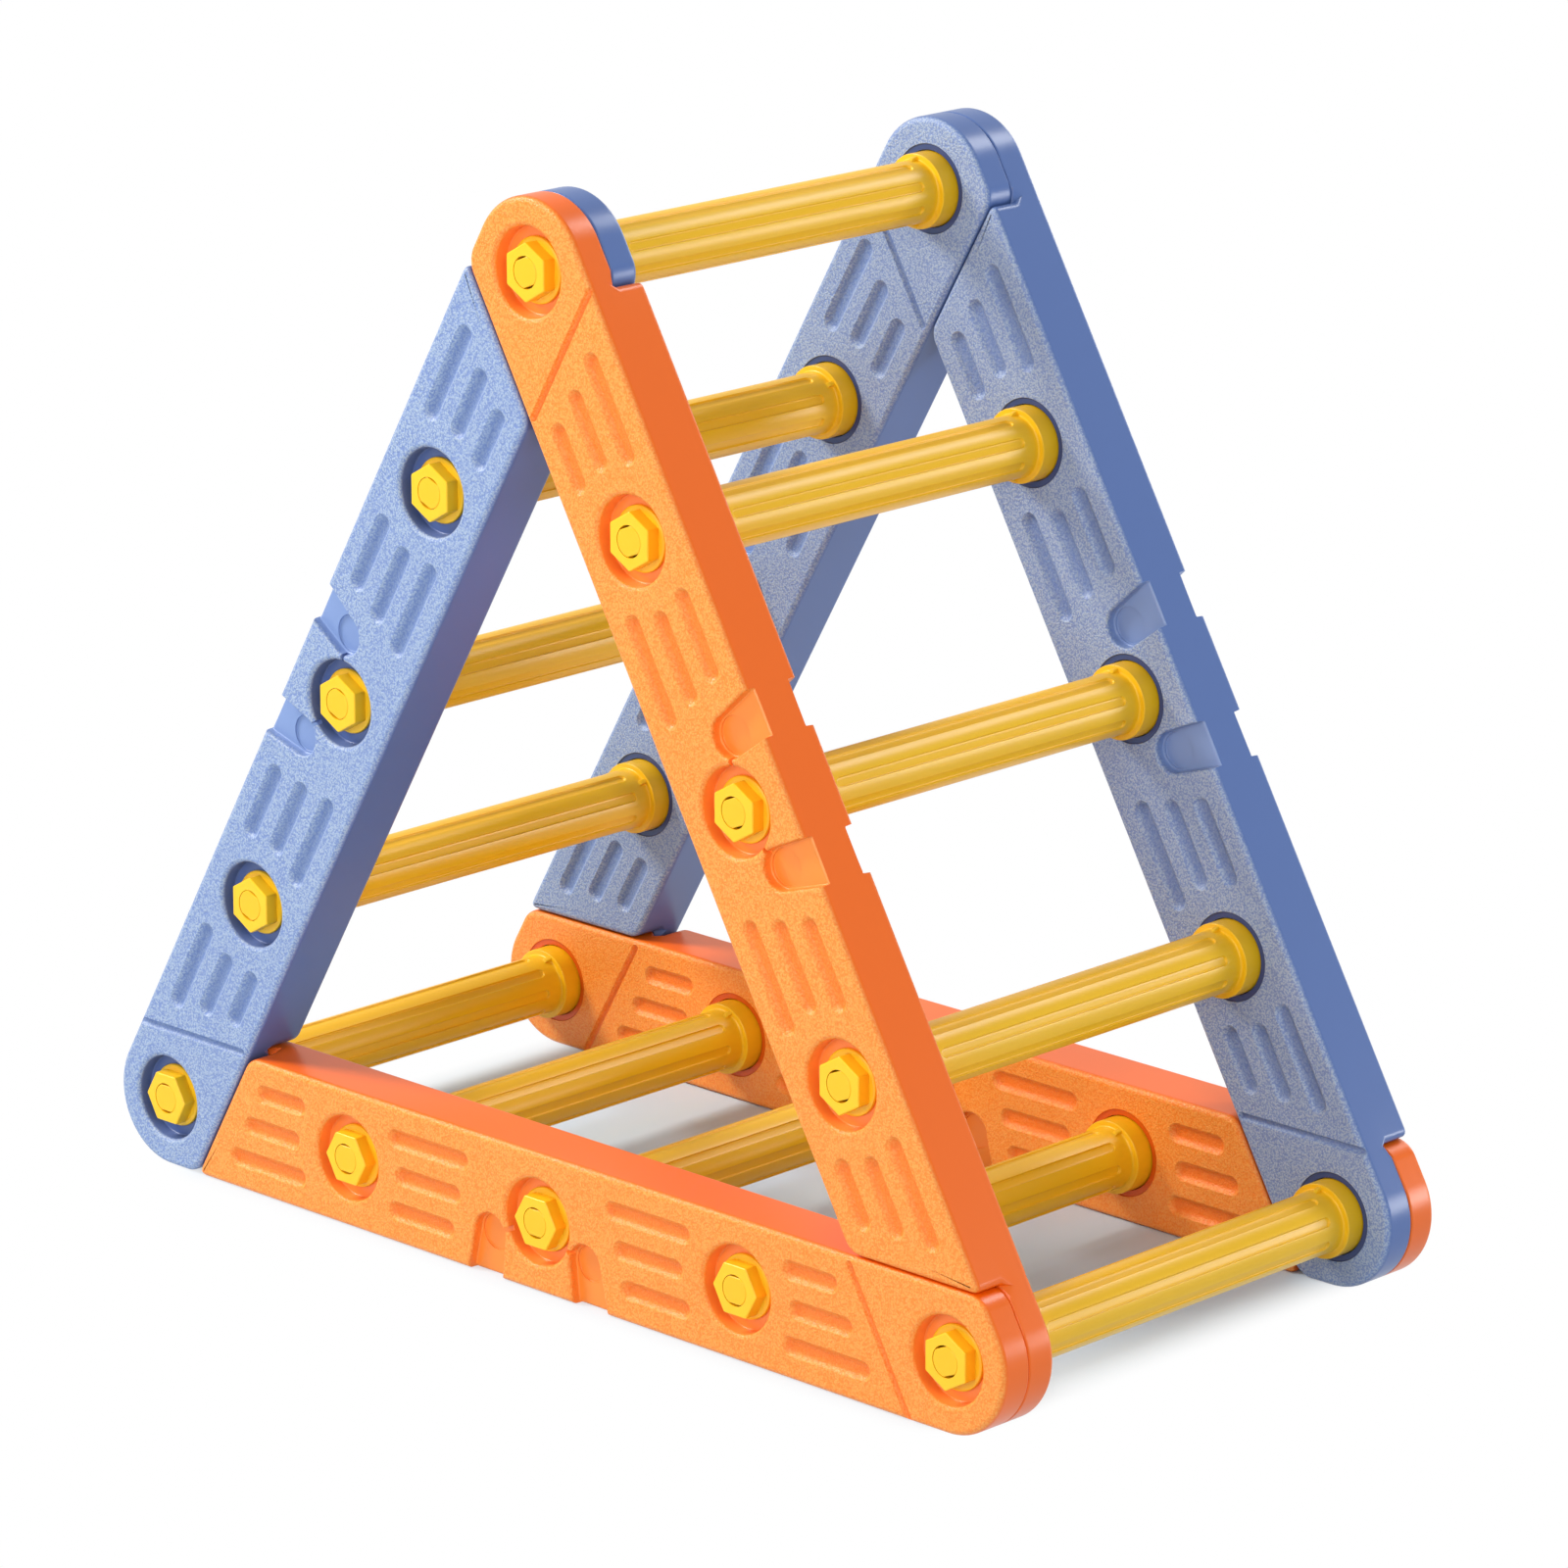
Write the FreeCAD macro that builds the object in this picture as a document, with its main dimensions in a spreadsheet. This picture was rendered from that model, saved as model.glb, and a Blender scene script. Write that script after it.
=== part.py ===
import FreeCAD, Part
import os
import Sketcher

# Triangular climbing frame for small children: two bolted triangles of moulded bars
# with twelve fluted rungs between them. Millimetres, +Z up, resting on z = 0,
# y = 0 midway between the two triangles, the front triangle at -Y.

doc = FreeCAD.newDocument("climbing_frame")
sheet = doc.addObject("Spreadsheet::Sheet", "sizes")

SIZES = [
    # The triangle: holes stand at equal steps on three lines between the corners.
    ("corner_spacing", "560"),
    ("hole_pitch", "=corner_spacing / 4"),
    ("frame_depth", "320"),
    # A bar: a flat moulding, half as thick where it laps its neighbour.
    ("bar_half_width", "37"),
    ("bar_thickness", "36"),
    ("lap_depth", "=bar_thickness / 2"),
    ("lap_seam", "0.7"),
    ("edge_chamfer", "2.2"),
    ("stud_bore_radius", "8.4"),
    ("nut_recess_radius", "22.5"),
    ("nut_recess_depth", "8.6"),
    # Score line across each tab, where the face grain of the lapping bar ends.
    ("score_distance", "39"),
    ("score_width", "2"),
    ("score_depth", "1"),
    # Grip troughs: three rows, in an inner and an outer set on each half of the bar.
    ("trough_row", "19.5"),
    ("trough_half_width", "5"),
    ("trough_depth", "2"),
    ("upper_inner_from", "60.3"),
    ("upper_inner_to", "108.3"),
    ("centre_inner_from", "55.3"),
    ("centre_inner_to", "103.3"),
    ("lower_inner_from", "49.5"),
    ("lower_inner_to", "108.3"),
    ("upper_outer_from", "172.1"),
    ("upper_outer_to", "230.2"),
    ("centre_outer_from", "176.3"),
    ("centre_outer_to", "218.3"),
    ("lower_outer_from", "171.7"),
    ("lower_outer_to", "208.3"),
    # Accessory pockets: a splayed pair beside the middle hole, open at the outer edge.
    ("pocket_from_middle", "34"),
    ("pocket_centre_height", "14.5"),
    ("pocket_radius", "11"),
    ("pocket_mouth_near", "25.5"),
    ("pocket_mouth_far", "50.5"),
    ("pocket_depth", "5.5"),
    # A rung: tube, collars and threaded studs in one moulding.
    ("rung_radius", "16.3"),
    ("collar_radius", "20.25"),
    ("collar_stand_off", "10.2"),
    ("collar_lip_length", "3.8"),
    ("stud_radius", "8"),
    ("flute_half_width", "2.5"),
    ("flute_depth", "0.8"),
    # A nut: its flats are 26 apart.
    ("nut_corner_radius", "=26 / sqrt(3)"),
    ("nut_bore_radius", "8.4"),
    ("nut_proud", "1"),
    # Places and lengths that follow from the sizes above.
    ("half_spacing", "=corner_spacing / 2"),
    ("quarter_spacing", "=corner_spacing / 4"),
    ("triangle_rise", "=corner_spacing * sqrt(3) / 2"),
    ("mid_side_height", "=bar_half_width + triangle_rise / 2"),
    ("top_height", "=bar_half_width + triangle_rise"),
    ("half_depth", "=frame_depth / 2"),
    ("two_pitches", "=2 * hole_pitch"),
    ("tab_arc_end", "=half_spacing + bar_half_width * sqrt(3) / 2"),
    ("tab_arc_drop", "=bar_half_width / 2"),
    ("tab_tip", "=half_spacing + bar_half_width / sqrt(3)"),
    ("mitre_top", "=half_spacing - (bar_half_width / 2 + lap_seam) * 2 / sqrt(3)"),
    ("mitre_bottom", "=half_spacing - (bar_half_width * 1.5 + lap_seam) * 2 / sqrt(3)"),
    ("score_top", "=half_spacing - (score_distance - bar_half_width * 0.6) * 2 / sqrt(3)"),
    ("score_top_height", "=bar_half_width * 1.2"),
    ("score_bottom", "=half_spacing - (score_distance + bar_half_width * 0.6) * 2 / sqrt(3)"),
    ("score_run", "=score_width * 2 / sqrt(3)"),
    ("score_top_near", "=score_top - score_run"),
    ("score_bottom_near", "=score_bottom - score_run"),
    ("trough_top_of_upper", "=trough_row + trough_half_width"),
    ("trough_foot_of_upper", "=trough_row - trough_half_width"),
    ("pocket_mouth_height", "=bar_half_width + 2"),
    ("inner_face", "=half_depth - bar_thickness"),
    ("collar_front", "=inner_face - collar_stand_off"),
    ("collar_lip_end", "=collar_front - collar_lip_length"),
    ("stud_end", "=half_depth + nut_proud"),
    ("flute_floor", "=rung_radius - flute_depth"),
    ("flute_clear", "=rung_radius + 1"),
    ("flute_length", "=2 * collar_lip_end"),
    ("nut_height", "=nut_recess_depth + nut_proud"),
    ("nut_corner_rise", "=nut_corner_radius / 2"),
    ("nut_flat_distance", "=nut_corner_radius * sqrt(3) / 2"),
    ("nut_seat", "=half_depth - nut_recess_depth"),
]

for row, (alias, value) in enumerate(SIZES, start=1):
    sheet.set("A%d" % row, alias)
    sheet.set("B%d" % row, value)
    sheet.setAlias("B%d" % row, alias)
doc.recompute()


def number(name):
    """The value of a size; a leading minus sign turns it round."""
    if name == "0":
        return 0.0
    if name.startswith("-"):
        return -float(sheet.get(name[1:]))
    return float(sheet.get(name))


def cell(name):
    """The same size as an expression."""
    if name == "0":
        return "0"
    if name.startswith("-"):
        return "-sizes." + name[1:]
    return "sizes." + name


def turned(name):
    """The same size on the other side of zero."""
    if name == "0":
        return name
    return name[1:] if name.startswith("-") else "-" + name


def add_body(label):
    body = doc.addObject("PartDesign::Body", label)
    body.Label = label
    return body


def add_sketch(body, name, plane, offset=None):
    """A sketch on one of the body's own planes, moved along its normal by a size."""
    sketch = body.newObject("Sketcher::SketchObject", name)
    for feature in body.Origin.OriginFeatures:
        if getattr(feature, "Role", "") == plane:
            sketch.AttachmentSupport = [(feature, "")]
    sketch.MapMode = "FlatFace"
    if offset:
        sketch.setExpression("AttachmentOffset.Base.z", cell(offset))
    return sketch


def pin(sketch, geometry, vertex, place):
    """Hold one vertex at a place given by two sizes."""
    for kind, name in zip(("DistanceX", "DistanceY"), place):
        index = sketch.addConstraint(Sketcher.Constraint(kind, -1, 1, geometry, vertex, number(name)))
        sketch.setExpression("Constraints[%d]" % index, cell(name))


def vector(place):
    return FreeCAD.Vector(number(place[0]), number(place[1]), 0)


def draw_polygon(sketch, places):
    """A closed outline of straight lines, every corner held by two sizes."""
    lines = []
    for start, end in zip(places, places[1:] + places[:1]):
        lines.append(sketch.addGeometry(Part.LineSegment(vector(start), vector(end)), False))
    for line, following in zip(lines, lines[1:] + lines[:1]):
        sketch.addConstraint(Sketcher.Constraint("Coincident", line, 2, following, 1))
    for line, place in zip(lines, places):
        pin(sketch, line, 1, place)


def draw_circle(sketch, place, radius):
    circle = Part.Circle(vector(place), FreeCAD.Vector(0, 0, 1), number(radius))
    index = sketch.addGeometry(circle, False)
    pin(sketch, index, 3, place)
    held = sketch.addConstraint(Sketcher.Constraint("Radius", index, number(radius)))
    sketch.setExpression("Constraints[%d]" % held, cell(radius))


def pad(body, name, sketch, length, against_normal):
    feature = body.newObject("PartDesign::Pad", name)
    feature.Profile = sketch
    feature.setExpression("Length", cell(length))
    feature.Reversed = against_normal
    body.Tip = feature
    return feature


def pocket(body, name, sketch, depth, along_normal):
    """Cut to a depth; without a depth the cut runs through everything."""
    feature = body.newObject("PartDesign::Pocket", name)
    feature.Profile = sketch
    if depth:
        feature.setExpression("Length", cell(depth))
    else:
        feature.Type = 1
    feature.Reversed = along_normal
    body.Tip = feature
    return feature


def draw_lap_half(sketch, tab_side):
    """Half the bar's thickness: a rounded tab over one corner, a mitred end at the other.

    tab_side "-" puts the tab at the bar's start, "" at its end.
    """
    def at(name):
        return name if tab_side == "" else turned(name)

    def off(name):
        return turned(at(name))

    chain = [
        (at("tab_arc_end"), "-tab_arc_drop"),
        (at("tab_tip"), "-bar_half_width"),
        (off("mitre_bottom"), "-bar_half_width"),
        (off("mitre_top"), "bar_half_width"),
        (at("half_spacing"), "bar_half_width"),
    ]
    lines = []
    for start, end in zip(chain, chain[1:]):
        lines.append(sketch.addGeometry(Part.LineSegment(vector(start), vector(end)), False))
    for line, following in zip(lines, lines[1:]):
        sketch.addConstraint(Sketcher.Constraint("Coincident", line, 2, following, 1))
    for line, place in zip(lines, chain):
        pin(sketch, line, 1, place)
    pin(sketch, lines[-1], 2, chain[-1])

    # The round of the tab is struck about the corner hole.
    centre = vector((at("half_spacing"), "0"))
    radius = number("bar_half_width")
    rim = Part.Circle(centre, FreeCAD.Vector(0, 0, 1), radius)
    if tab_side == "":
        arc = sketch.addGeometry(Part.ArcOfCircle(rim, -0.5235987756, 1.5707963268), False)
        begin, finish = 1, 2
    else:
        arc = sketch.addGeometry(Part.ArcOfCircle(rim, 1.5707963268, 3.6651914292), False)
        begin, finish = 2, 1
    sketch.addConstraint(Sketcher.Constraint("Coincident", arc, begin, lines[0], 1))
    sketch.addConstraint(Sketcher.Constraint("Coincident", arc, finish, lines[-1], 2))
    index = sketch.addConstraint(Sketcher.Constraint("Radius", arc, radius))
    sketch.setExpression("Constraints[%d]" % index, "sizes.bar_half_width")


def draw_pocket(sketch, side):
    """One accessory pocket: a round end with two splayed sides that run past the edge."""
    def at(name):
        return side + name

    mouth = [
        (at("pocket_mouth_near"), "pocket_mouth_height"),
        (at("pocket_mouth_far"), "pocket_mouth_height"),
    ]
    centre = vector((at("pocket_from_middle"), "pocket_centre_height"))
    radius = number("pocket_radius")
    reach = FreeCAD.Vector(radius if side == "" else -radius, 0, 0)
    near_line = sketch.addGeometry(Part.LineSegment(vector(mouth[0]), centre - reach), False)
    far_line = sketch.addGeometry(Part.LineSegment(centre + reach, vector(mouth[1])), False)
    top_line = sketch.addGeometry(Part.LineSegment(vector(mouth[1]), vector(mouth[0])), False)
    rim = Part.Circle(centre, FreeCAD.Vector(0, 0, 1), radius)
    arc = sketch.addGeometry(Part.ArcOfCircle(rim, 3.1415926536, 6.2831853072), False)
    near_end, far_end = (1, 2) if side == "" else (2, 1)
    pin(sketch, arc, 3, (at("pocket_from_middle"), "pocket_centre_height"))
    index = sketch.addConstraint(Sketcher.Constraint("Radius", arc, radius))
    sketch.setExpression("Constraints[%d]" % index, "sizes.pocket_radius")
    pin(sketch, near_line, 1, mouth[0])
    pin(sketch, far_line, 2, mouth[1])
    sketch.addConstraint(Sketcher.Constraint("Coincident", far_line, 2, top_line, 1))
    sketch.addConstraint(Sketcher.Constraint("Coincident", top_line, 2, near_line, 1))
    sketch.addConstraint(Sketcher.Constraint("Tangent", near_line, 2, arc, near_end))
    sketch.addConstraint(Sketcher.Constraint("Tangent", far_line, 1, arc, far_end))


def draw_troughs(sketch):
    """Twelve grip troughs: three rows, two sets, mirrored about the bar's middle."""
    rows = {
        "upper": ("trough_foot_of_upper", "trough_top_of_upper"),
        "centre": ("-trough_half_width", "trough_half_width"),
        "lower": ("-trough_top_of_upper", "-trough_foot_of_upper"),
    }
    for row, (foot, head) in rows.items():
        for group in ("inner", "outer"):
            begin = "%s_%s_from" % (row, group)
            end = "%s_%s_to" % (row, group)
            for side in ("", "-"):
                draw_polygon(sketch, [
                    (side + begin, foot),
                    (side + end, foot),
                    (side + end, head),
                    (side + begin, head),
                ])


def add_bar(label, hand, turn, place):
    """One moulded bar. Its middle hole is the body's origin and its outer face lies at y = 0.

    hand "-" lays the thickness towards +Y (front triangle), "" towards -Y (back triangle).
    """
    inward = hand == "-"
    behind = "-" if inward else ""
    body = add_body(label)

    outer = add_sketch(body, label + "_outer_half", "XZ_Plane")
    draw_lap_half(outer, "-")
    pad(body, label + "_outer_lap", outer, "lap_depth", inward)
    inner = add_sketch(body, label + "_inner_half", "XZ_Plane", behind + "lap_depth")
    draw_lap_half(inner, "")
    pad(body, label + "_inner_lap", inner, "lap_depth", inward)
    doc.recompute()

    # The rims of both broad faces are eased.
    laps = body.Tip
    depth = number("bar_thickness")
    rims = []
    for index, edge in enumerate(laps.Shape.Edges, start=1):
        box = edge.BoundBox
        flat = box.YLength < 0.01
        on_face = abs(box.YMin) < 0.01 or abs(abs(box.YMin) - depth) < 0.01
        if flat and on_face:
            rims.append("Edge%d" % index)
    chamfer = body.newObject("PartDesign::Chamfer", label + "_eased_rims")
    chamfer.Base = (laps, rims)
    chamfer.setExpression("Size", "sizes.edge_chamfer")
    body.Tip = chamfer
    doc.recompute()

    steps = ["-two_pitches", "-hole_pitch", "0", "hole_pitch", "two_pitches"]
    bores = add_sketch(body, label + "_bores", "XZ_Plane")
    for step in steps:
        draw_circle(bores, (step, "0"), "stud_bore_radius")
    pocket(body, label + "_stud_bores", bores, None, not inward)

    seats = add_sketch(body, label + "_nut_seats", "XZ_Plane")
    for step in steps[:4]:
        draw_circle(seats, (step, "0"), "nut_recess_radius")
    pocket(body, label + "_nut_recesses", seats, "nut_recess_depth", not inward)

    faces = [
        ("outer", None, "-", not inward),
        ("inner", behind + "bar_thickness", "", inward),
    ]
    for face, offset, tab_side, along in faces:
        name = "%s_%s" % (label, face)
        sketch = add_sketch(body, name + "_mouths", "XZ_Plane", offset)
        draw_pocket(sketch, "")
        draw_pocket(sketch, "-")
        pocket(body, name + "_pockets", sketch, "pocket_depth", along)

        sketch = add_sketch(body, name + "_grips", "XZ_Plane", offset)
        draw_troughs(sketch)
        pocket(body, name + "_troughs", sketch, "trough_depth", along)

        sketch = add_sketch(body, name + "_score_line", "XZ_Plane", offset)
        draw_polygon(sketch, [
            (tab_side + "score_top", "score_top_height"),
            (tab_side + "score_bottom", "-score_top_height"),
            (tab_side + "score_bottom_near", "-score_top_height"),
            (tab_side + "score_top_near", "score_top_height"),
        ])
        pocket(body, name + "_score", sketch, "score_depth", along)

    body.Placement = FreeCAD.Placement(FreeCAD.Vector(), FreeCAD.Rotation(FreeCAD.Vector(0, 1, 0), turn))
    put(body, place[0], hand + "half_depth", place[1])
    return body


def put(thing, x, y, z):
    """Bind the place of a body to three sizes or sums of sizes."""
    for axis, name in zip("xyz", (x, y, z)):
        text = name if "sizes." in name else cell(name)
        thing.setExpression("Placement.Base." + axis, text)


def add_rung(label, turn, x, z):
    """A rung: turned profile with eight grip flutes, lying along Y between the triangles."""
    body = add_body(label)
    profile = add_sketch(body, label + "_profile", "XY_Plane")
    half = [
        ("stud_radius", "stud_end"),
        ("stud_radius", "inner_face"),
        ("collar_radius", "inner_face"),
        ("collar_radius", "collar_front"),
        ("rung_radius", "collar_lip_end"),
    ]
    outline = [("0", "-stud_end")]
    outline += [(radius, turned(height)) for radius, height in half]
    outline += [(radius, height) for radius, height in reversed(half)]
    outline += [("0", "stud_end")]
    draw_polygon(profile, outline)
    turning = body.newObject("PartDesign::Revolution", label + "_turning")
    turning.Profile = profile
    turning.ReferenceAxis = (profile, ["V_Axis"])
    turning.Angle = 360
    body.Tip = turning
    doc.recompute()

    section = add_sketch(body, label + "_flute_section", "XZ_Plane")
    draw_polygon(section, [
        ("-flute_half_width", "flute_floor"),
        ("flute_half_width", "flute_floor"),
        ("flute_half_width", "flute_clear"),
        ("-flute_half_width", "flute_clear"),
    ])
    flute = pocket(body, label + "_flute", section, "flute_length", False)
    flute.Midplane = True
    doc.recompute()

    ring = body.newObject("PartDesign::PolarPattern", label + "_flutes")
    ring.Originals = [flute]
    ring.Axis = (section, ["N_Axis"])
    ring.Angle = 360
    ring.Occurrences = 8
    body.Tip = ring

    body.Placement = FreeCAD.Placement(FreeCAD.Vector(), FreeCAD.Rotation(FreeCAD.Vector(0, 1, 0), turn))
    put(body, x, "0", z)
    return body


def add_nut_pattern():
    """The nut that all the fasteners repeat: it sits at y = 0 and its face looks to -Y."""
    body = add_body("nut_pattern")
    section = add_sketch(body, "nut_hexagon", "XZ_Plane")
    draw_polygon(section, [
        ("0", "nut_corner_radius"),
        ("nut_flat_distance", "nut_corner_rise"),
        ("nut_flat_distance", "-nut_corner_rise"),
        ("0", "-nut_corner_radius"),
        ("-nut_flat_distance", "-nut_corner_rise"),
        ("-nut_flat_distance", "nut_corner_rise"),
    ])
    pad(body, "nut_head", section, "nut_height", False)
    bore = add_sketch(body, "nut_bore_ring", "XZ_Plane")
    draw_circle(bore, ("0", "0"), "nut_bore_radius")
    pocket(body, "nut_bore", bore, None, True)
    doc.recompute()
    return body


def add_nuts(label, pattern, hand, holes):
    """Twelve separate nuts on one triangle."""
    nuts = []
    for name, x, z, low_row in holes:
        nut = doc.addObject("App::Link", "%s_%s" % (label, name))
        nut.LinkedObject = pattern
        spin = FreeCAD.Rotation(FreeCAD.Vector(0, 1, 0), 30 if low_row else 0)
        face = FreeCAD.Rotation(FreeCAD.Vector(0, 0, 1), 0 if hand == "-" else 180)
        nut.Placement = FreeCAD.Placement(FreeCAD.Vector(), face.multiply(spin))
        put(nut, x, hand + "nut_seat", z)
        nuts.append(nut)
    group = doc.addObject("Part::Compound", label)
    group.Label = label
    group.Links = nuts
    return group


# Where the twelve holes are: four on each bar, from its tab to its last step.
RISE = "sizes.bar_half_width + sizes.triangle_rise * %s / 4"
ALONG = "sizes.quarter_spacing * %s"
HOLES = [
    ("top_rung", "0", "top_height", False),
    ("right_upper_rung", ALONG % "0.5", RISE % "3", False),
    ("right_middle_rung", ALONG % "1", RISE % "2", False),
    ("right_lower_rung", ALONG % "1.5", RISE % "1", False),
    ("right_corner_rung", "half_spacing", "bar_half_width", False),
    ("base_right_rung", "quarter_spacing", "bar_half_width", True),
    ("base_middle_rung", "0", "bar_half_width", True),
    ("base_left_rung", "-quarter_spacing", "bar_half_width", True),
    ("left_corner_rung", "-half_spacing", "bar_half_width", True),
    ("left_lower_rung", "-1.5 * sizes.quarter_spacing", RISE % "1", False),
    ("left_middle_rung", "-quarter_spacing", RISE % "2", False),
    ("left_upper_rung", "-0.5 * sizes.quarter_spacing", RISE % "3", False),
]

nodes = []
for frame, hand in (("front", "-"), ("back", "")):
    nodes.append(add_bar(frame + "_right_bar", hand, 60, ("quarter_spacing", "mid_side_height")))
    nodes.append(add_bar(frame + "_base_bar", hand, 180, ("0", "bar_half_width")))
    nodes.append(add_bar(frame + "_left_bar", hand, 300, ("-quarter_spacing", "mid_side_height")))
for name, x, z, low_row in HOLES:
    nodes.append(add_rung(name, 0 if low_row else 22.5, x, z))
pattern = add_nut_pattern()
for frame, hand in (("front", "-"), ("back", "")):
    nodes.append(add_nuts(frame + "_nuts", pattern, hand, HOLES))
doc.recompute()

for thing in doc.Objects:
    if "Invalid" in thing.State or "Error" in thing.State:
        raise RuntimeError("%s did not recompute" % thing.Name)
os.makedirs("parts", exist_ok=True)
for node in nodes:
    if node.Shape.isNull() or not node.Shape.isValid():
        raise RuntimeError("%s has no sound shape" % node.Label)
    node.Shape.exportStep("parts/%s.step" % node.Label)
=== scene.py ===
import math

import bmesh
import bpy
from mathutils import Matrix, Vector


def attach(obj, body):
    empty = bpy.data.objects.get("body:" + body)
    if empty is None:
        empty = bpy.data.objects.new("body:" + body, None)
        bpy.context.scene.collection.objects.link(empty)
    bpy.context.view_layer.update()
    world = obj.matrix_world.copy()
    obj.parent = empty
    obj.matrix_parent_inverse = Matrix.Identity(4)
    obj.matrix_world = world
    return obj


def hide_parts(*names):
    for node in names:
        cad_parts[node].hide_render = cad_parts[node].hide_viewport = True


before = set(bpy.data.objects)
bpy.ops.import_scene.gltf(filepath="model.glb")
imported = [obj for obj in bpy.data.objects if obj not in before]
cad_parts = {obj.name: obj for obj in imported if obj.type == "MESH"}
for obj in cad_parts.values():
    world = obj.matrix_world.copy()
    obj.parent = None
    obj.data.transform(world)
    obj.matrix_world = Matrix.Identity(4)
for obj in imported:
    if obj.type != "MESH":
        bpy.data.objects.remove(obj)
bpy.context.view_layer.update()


# Six bars, three to a triangle: flat hollow mouldings in coloured polyethylene.
# Each is half as thick over a corner hole, where it laps its neighbour. Both broad faces
# have a pebbled grain, and the long edges and the recesses are smooth.
corner_spacing = 0.560
hole_pitch = corner_spacing / 4
half_depth = 0.160
half_width = 0.037
thickness = 0.036
lap_seam = 0.0007
tip_round = 0.0075
corner_round = 0.006
face_rim_round = 0.0034
lap_rim_round = 0.0013
trough_row = 0.0195
trough_spans = [(0.052, 0.1135), (0.167, 0.235)]
divisions = [0.0285] + [edge for span in trough_spans for edge in span]


def divide(bm, point, normal, faces=None, slack=1e-7):
    """Divide a mesh, or only the faces given, where a plane crosses it."""
    if faces is None:
        geom = bm.verts[:] + bm.edges[:] + bm.faces[:]
    else:
        verts = dict.fromkeys(v for f in faces for v in f.verts)
        edges = dict.fromkeys(e for f in faces for e in f.edges)
        geom = list(verts) + list(edges) + faces
    bmesh.ops.bisect_plane(bm, geom=geom, plane_co=point, plane_no=normal, dist=slack)


def ease(bm, edges, offset, segments):
    """Round edges off."""
    bmesh.ops.bevel(
        bm, geom=edges, affect="EDGES", offset=offset, segments=segments, profile=0.5, material=-1)


def bar_blank():
    """A bar before its details are cut. Its middle hole is the origin, its outer face y = 0."""
    bm = bmesh.new()
    arcs, tips = [], []
    for side in (-1, 1):
        hole = Vector((side * corner_spacing / 2, thickness / 2, 0))
        first = len(bm.verts)
        start = bm.verts.new(hole + Vector((0, 0, half_width)))
        bmesh.ops.spin(
            bm, geom=[start], cent=hole, axis=(0, 1, 0), angle=side * math.radians(120), steps=30)
        arcs.append(list(bm.verts)[first:])
        tips.append(bm.verts.new(hole + Vector((side * half_width / math.sqrt(3), 0, -half_width))))
    bm.faces.new(arcs[0] + tips + arcs[1][::-1])
    bmesh.ops.bevel(
        bm, geom=tips, affect="VERTICES", offset=tip_round, segments=6, profile=0.5, material=-1)

    # The outline is divided along both mitres; each lap half is drawn from its own two parts.
    for side in (-1, 1):
        normal = Vector((-side * math.sqrt(3) / 2, 0, 0.5))
        point = Vector((side * corner_spacing / 2, 0, 0)) + normal * (half_width + lap_seam)
        divide(bm, point, normal, slack=1e-6)
    start_tab, middle, end_tab = sorted(bm.faces, key=lambda face: face.calc_center_median().x)
    for region, step in (([start_tab, middle], -thickness / 2), ([middle, end_tab], thickness / 2)):
        drawn = bmesh.ops.extrude_face_region(bm, geom=region, use_keep_orig=True)
        moved = [item for item in drawn["geom"] if isinstance(item, bmesh.types.BMVert)]
        bmesh.ops.translate(bm, verts=moved, vec=(0, step, 0))
    bmesh.ops.delete(bm, geom=[middle], context="FACES_ONLY")
    bmesh.ops.recalc_face_normals(bm, faces=bm.faces)

    def outer_corner(edge):
        return edge.is_convex and edge.calc_face_angle(0) > 0.6

    def across(edge):
        return abs(edge.verts[0].co.y - edge.verts[1].co.y) > thickness / 4

    def at_level(edge, level):
        return all(abs(v.co.y - level) < 1e-5 for v in edge.verts)

    ease(bm, [e for e in bm.edges if across(e) and outer_corner(e)], corner_round, 5)
    rims = ((0, face_rim_round, 7), (thickness, face_rim_round, 7), (thickness / 2, lap_rim_round, 4))
    for level, rim_round, segments in rims:
        ease(bm, [e for e in bm.edges if at_level(e, level) and outer_corner(e)], rim_round, segments)

    # The broad faces are divided between the details, so that no face gets more than one of them.
    for along in divisions:
        for side in (-1, 1):
            divide(bm, (side * along, 0, 0), (1, 0, 0))
    for up in (trough_row / 2, -trough_row / 2):
        near = [f for f in bm.faces if any(a < abs(f.calc_center_median().x) < b for a, b in trough_spans)]
        divide(bm, (0, 0, up), (0, 0, 1), near)
    return bm


def sink(levels, segments):
    """A round bowl to cut with: (radius, depth) in mm, from above the face down to the floor."""
    bm = bmesh.new()
    radius, depth = levels[0]
    bmesh.ops.create_circle(bm, cap_ends=True, segments=segments, radius=radius * 0.001)
    for angle, axis in ((math.pi / segments, "Z"), (math.pi / 2, "X")):
        bmesh.ops.rotate(bm, verts=bm.verts, cent=(0, 0, 0), matrix=Matrix.Rotation(angle, 3, axis))
    bmesh.ops.translate(bm, verts=bm.verts, vec=(0, depth * 0.001, 0))
    floor = bm.faces[:]
    for number, (wider, deeper) in enumerate(levels[1:]):
        drawn = bmesh.ops.extrude_face_region(bm, geom=floor, use_keep_orig=True)
        if number > 0:
            bmesh.ops.delete(bm, geom=floor, context="FACES_ONLY")
        moved = [item for item in drawn["geom"] if isinstance(item, bmesh.types.BMVert)]
        floor = [item for item in drawn["geom"] if isinstance(item, bmesh.types.BMFace)]
        bmesh.ops.translate(bm, verts=moved, vec=(0, (deeper - depth) * 0.001, 0))
        bmesh.ops.scale(bm, verts=moved, vec=(wider / radius, 1, wider / radius))
        radius, depth = wider, deeper
    return bm


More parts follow.
